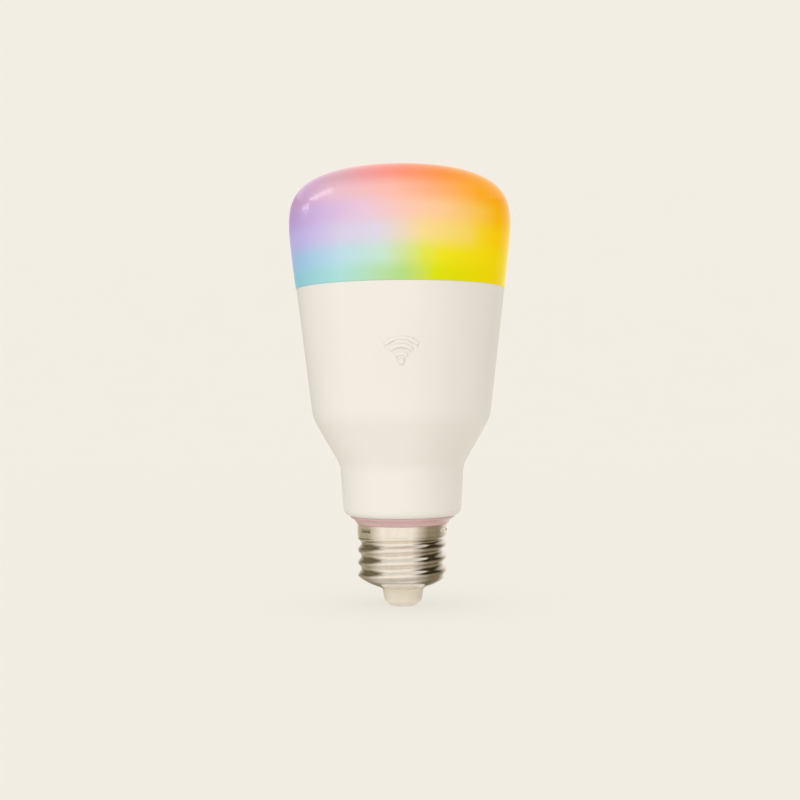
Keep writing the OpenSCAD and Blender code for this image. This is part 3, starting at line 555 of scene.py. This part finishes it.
def boolean(piece, other, operation):
    """Adds other to piece or cuts it away, and removes other."""
    change = piece.modifiers.new(operation, "BOOLEAN")
    change.operation = operation
    change.solver = "EXACT"
    change.object = other
    graph = bpy.context.evaluated_depsgraph_get()
    made = bpy.data.meshes.new_from_object(piece.evaluated_get(graph), depsgraph=graph)
    piece.modifiers.clear()
    piece.data = made
    bpy.data.objects.remove(other)


def prism(bm, outline, low_y, high_y):
    """A solid with the outline (x, z) as its two ends, at low_y and high_y."""
    ends = [[bm.verts.new((x, y, z)) for x, z in outline] for y in (low_y, high_y)]
    bm.faces.new(ends[0])
    bm.faces.new(ends[1][::-1])
    for k in range(len(outline)):
        m = (k + 1) % len(outline)
        bm.faces.new((ends[0][m], ends[0][k], ends[1][k], ends[1][m]))


def rectangle(x1, z1, x2, z2):
    return [(x1, z1), (x2, z1), (x2, z2), (x1, z2)]


def add_board_guides(bm):
    """Four ribs inside the spigot that hold the edges of the driver board."""
    rib_t, rib_x = 1, 7.2
    low, high = 16, 29
    board_front_y, board_back_y = -3.2, -4.8
    clearance = 0.1
    front, back = board_front_y + clearance, board_back_y - clearance - rib_t
    for side in (-1, 1):
        for reach, y in ((10.2, front), (9.2, back)):
            prism(bm, rectangle(side * rib_x, low, side * reach, high), y, y + rib_t)


def on_cone(x, up, height):
    """A place height millimetres off the front of the housing's cone, near the mark's dot."""
    z = MARK_Z + up
    return (x, -math.sqrt((cone_out_r(z) + height) ** 2 - x ** 2), z)


def add_signal_mark(bm):
    """A dot under three arcs, raised on the housing's front, with softened upper edges."""
    line, step, root, soft = 0.9, 2.1, 0.6, 0.05
    half, dot = line / 2, line * 0.8
    arc_steps, dot_steps = 40, 48
    section = [
        (half, -root), (half, MARK_RAISE - soft), (half - soft, MARK_RAISE),
        (soft - half, MARK_RAISE), (-half, MARK_RAISE - soft), (-half, -root),
    ]
    for r in (step, 2 * step, 3 * step):
        rows = []
        for k in range(arc_steps + 1):
            a = math.radians(45 + 90 * k / arc_steps)
            places = [((r + off) * math.cos(a), (r + off) * math.sin(a), h) for off, h in section]
            rows.append([on_cone(*place) for place in places])
        ends = [[tuple(sum(c) / len(row) for c in zip(*row))] for row in (rows[0], rows[-1])]
        add_grid(bm, [ends[0], *rows, ends[1]], closed=False)
    rings = [(dot, -root), (dot, MARK_RAISE - soft), (dot - soft, MARK_RAISE)]
    turns = [2 * math.pi * k / dot_steps for k in range(dot_steps)]
    rows = [[on_cone(r * math.cos(a), r * math.sin(a), h) for a in turns] for r, h in rings]
    add_grid(bm, [[on_cone(0, 0, -root)], *rows, [on_cone(0, 0, MARK_RAISE)]], closed=False)


def housing_details():
    """What stands on the turned housing: the ribs inside it and the mark on its front."""
    bm = bmesh.new()
    add_board_guides(bm)
    add_signal_mark(bm)
    return finished("housing_details", bm, FINISHES["housing_plastic"])


def wire_slot():
    """The groove down the +X side of the spigot, and its way through at the lower end."""
    half_width = 0.55
    floor = SPIGOT_R - 0.9
    low, high = SPIGOT_Z - 1, SPIGOT_Z + 8
    inner, outer = SPIGOT_IN_R - 1, SPIGOT_R + 1.1
    through = SPIGOT_Z + 1.4
    bm = bmesh.new()
    prism(bm, [
        (inner, low), (outer, low), (outer, high), (floor, high), (floor, through),
        (inner, through),
    ], -half_width, half_width)
    return finished("slot", bm, FINISHES["housing_plastic"])


def make_housing():
    """Cone, shoulder, neck and spigot as one shell, with its ribs, mark and wire groove."""
    bm = bmesh.new()
    outline = rounded([
        (cone_out_r(SEAM_Z), SEAM_Z, 0.2), (cone_out_r(SHOULDER_Z), SHOULDER_Z, 12),
        (17.8, WAIST_Z, 8), (16.9, NECK_Z, 2.2), (SPIGOT_R, NECK_Z, 0.2),
        (SPIGOT_R, SPIGOT_Z, 0.3), (SPIGOT_IN_R, SPIGOT_Z, 0.3),
        (SPIGOT_IN_R, NECK_FLOOR_Z, 0.3), (15.1, NECK_FLOOR_Z, 1), (16, WAIST_Z, 8),
        (cone_in_r(SHOULDER_Z), SHOULDER_Z, 12), (cone_in_r(SEAM_Z), SEAM_Z, 0.3),
    ])
    lathe(bm, filled_ring(outline))
    housing = finished("housing_shell", bm, FINISHES["housing_plastic"])
    boolean(housing, housing_details(), "UNION")
    boolean(housing, wire_slot(), "DIFFERENCE")
    return housing


def make_collar():
    """The ring that flares from the shell's rim to the underside of the neck."""
    inner, outer = SPIGOT_R + 0.05, 15.1
    return turned("collar_trim", [
        (inner, SHELL_TOP_Z, 0), (13.225, SHELL_TOP_Z, 0.2), (13.825, 24.8, 2.4),
        (outer, 25.55, 0.3), (outer, NECK_Z, 0.08), (inner, NECK_Z, 0),
    ], FINISHES["collar_plastic"])


def ease(value, start, end):
    """0 before start, 1 after end, and smooth between them."""
    t = min(1, max(0, (value - start) / (end - start)))
    return t * t * (3 - 2 * t)


def thread_height(z, turn):
    """Height of the rolled thread above its root, from 0 to 1: it fades into both ends."""
    run_in, run_out = 1.2, 1.6
    wave = (1 + math.cos(2 * math.pi * (z - CREST_Z) / PITCH - turn)) / 2
    low = min(1, max(0, (z - THREAD_Z) / run_in))
    high = min(1, max(0, (z - BAND_Z + run_out) / run_out))
    return low * (wave + (1 - wave) * high)


def crimp_depth(z, turn):
    """Depth of the three short grooves that hold the shell to the spigot."""
    first, span, soft = math.radians(216), math.radians(16), 0.03
    above_band, radius, deepest = 1.6, 0.6, 0.25
    along = (turn - first + math.pi / 3) % (2 * math.pi / 3) - math.pi / 3
    off = abs(z - BAND_Z - above_band)
    half_width = math.sqrt(radius ** 2 - (radius - deepest) ** 2)
    if off >= half_width:
        return 0
    groove = math.sqrt(radius ** 2 - off ** 2) - (radius - deepest)
    return groove * (1 - ease(abs(along), span / 2 - soft, span / 2 + soft))


def shell_r(z, turn):
    """Outside radius of the rolled shell, with the small dents that thin sheet keeps."""
    if z > BAND_Z:
        return CREST_R - crimp_depth(z, turn)
    deepest = 0.012
    place = Vector((math.cos(turn), math.sin(turn), z * 0.12)) * 2.2
    dent = deepest * noise.noise(place)
    return ROOT_R + THREAD_DEPTH * thread_height(z, turn) - deepest + dent


def make_screw_shell():
    """Turned-in lower end, rolled thread and crimped band, as one sheet of even thickness."""
    rows_a_pitch, band_rows = 26, 40
    first_z, band_low, band_high = 8, BAND_Z + 0.05, SHELL_TOP_Z - 0.1
    inward, upward, rim = 0.42, 0.9, 0.08
    turns = [2 * math.pi * k / SEGMENTS for k in range(SEGMENTS)]
    lower = filled([(6.5, 5.2), (8.4, 5.95), (10.1, 6.7), (11.3, THREAD_Z)], longest=0.5)
    rows = math.ceil((BAND_Z - first_z) / PITCH * rows_a_pitch)
    heights = [first_z + (BAND_Z - first_z) * i / rows for i in range(rows + 1)]
    heights += [band_low + (band_high - band_low) * i / band_rows for i in range(band_rows + 1)]

    def side(inset):
        rings = [[(r - inset * inward, z + inset * upward) for _ in turns] for r, z in lower]
        return rings + [[(shell_r(z, a) - inset, z) for a in turns] for z in heights]

    edge = [[(CREST_R - inset, SHELL_TOP_Z) for _ in turns] for inset in (rim, SHEET - rim)]
    rings = side(0) + edge + side(SHEET)[::-1]
    bm = bmesh.new()
    add_grid(bm, [
        [(r * math.cos(a), r * math.sin(a), z) for (r, z), a in zip(ring, turns)] for ring in rings
    ], closed=True)
    return finished("screw_shell_sheet", bm, FINISHES["nickel_plate"])


def make_cap_insulator():
    """The dish under the shell, with a raised lip inside round the hole for the contact."""
    hole = 1.25
    return turned("cap_insulator_moulding", [
        (hole, 0.95, 0), (5.2, 0.95, 0.8), (5.9, 4.5, 0.5), (6.4, 5.1, 0.1), (6.4, 5.75, 0.1),
        (8.1, 6.45, 0), (9.7, 7.15, 0), (10.8, 7.85, 0.2), (11.2, 8.3, 0.2), (11.2, 9, 0.2),
        (8, 9, 0.3), (7, 7.6, 0.4), (2.6, 7, 0.4), (2.6, 8, 0.2), (hole, 8, 0.2),
    ], FINISHES["insulator_plastic"])


def make_contact():
    """A flat-headed rivet."""
    shank = 1.2
    return turned("centre_contact_rivet", [
        (0, 0, 0), (4.35, 0, 0.7), (4.35, 0.93, 0), (shank, 0.93, 0), (shank, 9.6, 0.3),
        (0, 9.6, 0),
    ], FINISHES["nickel_plate"], closed=False)


def wound_r(outer_r, wire, along, turn):
    """Outside radius of a close helix of wire at a distance along its axis and a turn."""
    deepest = 0.96
    off = (along / wire - turn / (2 * math.pi)) % 1 - 0.5
    return outer_r - wire / 2 * (1 - math.sqrt(1 - min(deepest, (2 * off) ** 2)))


def make_choke_windings():
    """One winding of enamelled wire round the waist of each choke on the driver board."""
    wire, rows_a_turn, segments = 0.4, 8, 96
    flange, clearance = 1.2, 0.05
    turns = [2 * math.pi * k / segments for k in range(segments)]
    bm = bmesh.new()
    for x, z, core_r, core_h in CHOKES:
        outer_r, inner_r = core_r - 0.5, core_r / 2 + 0.02
        low, high = flange + clearance, core_h - flange - clearance
        count = math.ceil((high - low) / wire * rows_a_turn)
        rings = []
        for i in range(count + 1):
            along = low + (high - low) * i / count
            rings.append([(wound_r(outer_r, wire, along, a), along) for a in turns])
        rings += [[(inner_r, along)] * segments for along in (high, low)]
        add_grid(bm, [[
            (x + r * math.cos(a), CHOKE_Y + h, z - r * math.sin(a))
            for (r, h), a in zip(ring, turns)
        ] for ring in rings], closed=True)
    return finished("choke_wire", bm, FINISHES["copper"], sharp=math.radians(80))


# Square-edged parts inside, with how far each one's edges are rounded
MOULDED_BLOCKS = (
    ("transformer_core", 0.25), ("transformer_bobbin", 0.12), ("transformer_winding", 0.25),
    ("film_capacitor", 0.1), ("bridge_rectifier", 0.15), ("control_chips", 0.12),
    ("diodes", 0.12), ("radio_chip", 0.08), ("radio_shield", 0.15), ("radio_header", 0.12),
    ("led_header", 0.12), ("led_socket", 0.12), ("white_led_packages", 0.08),
    ("rgb_led_packages", 0.08),
)


def is_hard(edge, shortest=0.6):
    """Whether an edge is a long outside corner, and not part of a hole's rim."""
    sharpest = math.radians(40)
    corner = edge.is_manifold and edge.is_convex and edge.calc_face_angle() > sharpest
    return corner and edge.calc_length() > shortest


def make_block(node, radius, slot):
    """The node's own shape with its outside corners rounded."""
    source = frame["nodes"][node]
    bm = bmesh.new()
    bm.from_mesh(source.data)
    bm.transform(Matrix.Scale(1 / MM, 4) @ source.matrix_world)
    bmesh.ops.remove_doubles(bm, verts=bm.verts, dist=0.001)
    flat = math.radians(1)
    bmesh.ops.dissolve_limit(bm, angle_limit=flat, verts=bm.verts, edges=bm.edges)
    hard = [edge for edge in bm.edges if is_hard(edge)]
    bmesh.ops.bevel(
        bm, geom=hard, offset=radius, segments=2, profile=0.5, affect="EDGES", clamp_overlap=True
    )
    return finished(node + "_moulding", bm, FINISHES[slot])


# Pieces that are built from outlines, each with its CAD node and material slot
SHAPED_PIECES = (
    (make_diffuser, "diffuser", "diffuser_plastic"),
    (make_housing, "housing", "housing_plastic"),
    (make_collar, "collar_ring", "collar_plastic"),
    (make_screw_shell, "screw_shell", "nickel_plate"),
    (make_cap_insulator, "cap_insulator", "insulator_plastic"),
    (make_contact, "centre_contact", "nickel_plate"),
    (make_choke_windings, "choke_windings", "copper"),
)

paint_cad_nodes()
pieces = {}
for make, node, slot in SHAPED_PIECES:
    pieces[node] = make()
    stand_for(pieces[node], node)
slots = {part["node"]: part["material_slot"] for part in frame["record"]["subparts"]}
for node, radius in MOULDED_BLOCKS:
    pieces[node] = make_block(node, radius, slots[node])
    stand_for(pieces[node], node)


# ---- Stage, lights and camera ----------------------------------------------

CAMERA_AT = (-0.00043, -0.3653, 0.0592)
CAMERA_ROLL = math.radians(0.5)
LENS = 56.8
STAGE_CREAM = (0.86, 0.832, 0.775)
ROOM_PALE = (1.0, 0.94, 0.86)
DOME_SHOULDER = (-0.022, -0.022, 0.115)
# Small lamps for the streak and the dot on the dome's left shoulder, each with its place, size,
# power and the direction of its long side
GLINTS = (
    ("glint_long", (-0.379, 0.042, 0.319), (0.08, 0.21), 0.48, (0.26, -0.74, 0.63)),
    ("glint_short", (-0.397, 0.153, 0.216), (0.03, 0.03), 0.16, (0, 0, 1)),
)


def plain(name, colour, matt_share, glow):
    """A matt stage surface, mostly lit by itself so that shadows on it stay faint."""
    finish = Finish(name, 0.9, specular=0.0)
    mottle = finish.noise(0.02)
    tones = [(0.3, shade(colour, 0.995)), (0.7, colour)]
    finish.set("Emission Color", finish.ramp(mottle, tones))
    finish.set("Base Color", finish.ramp(mottle, [(p, shade(c, matt_share)) for p, c in tones]))
    finish.shader.inputs["Emission Strength"].default_value = glow
    return finish.material


def make_stage():
    """A round floor that curves up into a plain wall on all sides."""
    floor_r, cove_r, wall_top = 1000, 500, 1500
    outline = [(0, 0)] + filled([(20, 0), (floor_r, 0)], longest=60)
    outline += arc(floor_r, cove_r, cove_r, -90, 0, steps=16) + [(floor_r + cove_r, wall_top)]
    bm = bmesh.new()
    lathe(bm, outline, closed=False, segments=96)
    stage = finished("stage", bm, plain("stage_cream", STAGE_CREAM, 0.4, 0.70))


def facing(at, target, along):
    """The turn that points a light's face at target, with its long side near along."""
    back = (Vector(at) - Vector(target)).normalized()
    up = (Vector(along) - back * back.dot(Vector(along))).normalized()
    return Matrix((up.cross(back), up, back)).transposed().to_euler()


def area_light(name, at, target, size, power, colour=(1, 1, 1), along=(0, 0, 1)):
    lamp = bpy.data.lights.new(name, "AREA")
    lamp.shape = "RECTANGLE"
    lamp.size, lamp.size_y = size
    lamp.energy = power
    lamp.color = colour
    made = new_object(name, lamp)
    made.location = at
    made.rotation_euler = facing(at, target, along)
    made.visible_camera = False
    return made


def receivers(name, lit):
    """A collection of the objects that a lamp lights, where it doesn't light everything."""
    made = bpy.data.collections.new(name)
    for piece in lit:
        made.objects.link(piece)
    return made


def make_lights():
    """A wide soft key that lights the bulb alone, and the glints, which light its dome alone."""
    key = area_light(
        "key", (-0.45, -0.95, 0.55), (0, 0, 0.07), (1.6, 0.9), 4.3, colour=(0.96, 0.985, 1.0)
    )
    key.visible_glossy = False
    bulb = receivers("lit_by_key", (*frame["nodes"].values(), *pieces.values()))
    key.light_linking.receiver_collection = bulb
    dome_only = receivers("lit_by_glints", (pieces["diffuser"],))
    for name, at, size, power, along in GLINTS:
        glint = area_light(name, at, DOME_SHOULDER, size, power, along=along)
        glint.visible_diffuse = False
        glint.light_linking.receiver_collection = dome_only


def side_tones(right, left, right_side=(-98, 18, 60), left_side=(66, 20, 62)):
    """Stops of the room's tone all round, with each side as (middle, core, reach) in degrees."""
    stops = []
    for (middle, core, reach), tone in ((right_side, right), (left_side, left)):
        around = ((-reach, ROOM_PALE), (-core, tone), (core, tone), (reach, ROOM_PALE))
        stops += [((middle + turn + 180) / 360, colour) for turn, colour in around]
    return stops


def room_finish():
    """The room as nickel shows it: pale, with a dark side to the right and a softer one left."""
    thread_z = 12
    finish = Finish("room", 0.9, specular=0.0)
    x, y, z = finish.axes()
    turn = finish.ranged(finish.maths("ARCTAN2", y, x), (-math.pi, math.pi), (0, 1))
    away = finish.node("ShaderNodeVectorMath", "Value", {0: finish.point()}, operation="LENGTH")
    far = finish.ranged(away, (30, 70), (0, 1))
    off_level = finish.maths("ABSOLUTE", finish.maths("SUBTRACT", z, thread_z))
    deep = finish.maths("MULTIPLY", far, finish.ranged(off_level, (4, 11), (0, 1)))
    level_tone = finish.ramp(turn, side_tones((0.32, 0.27, 0.175), (0.48, 0.435, 0.31)))
    deep_tone = finish.ramp(
        turn, side_tones((0.032, 0.024, 0.007), (0.15, 0.127, 0.075), right_side=(-100, 26, 60))
    )
    finish.set("Emission Color", finish.mixed(deep, level_tone, deep_tone))
    finish.set("Emission Strength", finish.ranged(away, (10, 35), (0.55, 1)))
    finish.shader.inputs["Base Color"].default_value = (0, 0, 0, 1)
    return finish.material


def make_room():
    """A dish round the bulb that is seen only in mirror-like surfaces."""
    floor_z, wall_r, wall_top = 0.4, 110, 150
    outline = filled([(8, floor_z), (wall_r, floor_z), (wall_r, wall_top)], longest=10)
    bm = bmesh.new()
    lathe(bm, outline, closed=False, segments=96)
    room = finished("room", bm, room_finish())
    room.rotation_euler = (0, 0, math.pi / 2)
    room.visible_camera = False
    room.visible_diffuse = False
    room.visible_shadow = False


def make_world():
    """Even, slightly warm light from all round."""
    world = bpy.data.worlds.new("studio")
    world.use_nodes = True
    background = world.node_tree.nodes["Background"]
    background.inputs["Color"].default_value = (1.0, 0.965, 0.90, 1)
    background.inputs["Strength"].default_value = 0.8
    bpy.context.scene.world = world


def make_camera():
    """The camera, straight in front of the bulb and level, with a slight roll."""
    lens = bpy.data.cameras.new("camera")
    lens.lens = LENS
    lens.sensor_width = 36
    lens.clip_start = 0.01
    camera = new_object("camera", lens)
    camera.location = CAMERA_AT
    camera.rotation_euler = (math.pi / 2, CAMERA_ROLL, 0)
    bpy.context.scene.camera = camera


make_stage()
make_lights()
make_room()
make_world()
make_camera()
bpy.context.scene.view_settings.view_transform = "Standard"
bpy.context.scene.view_settings.look = "None"
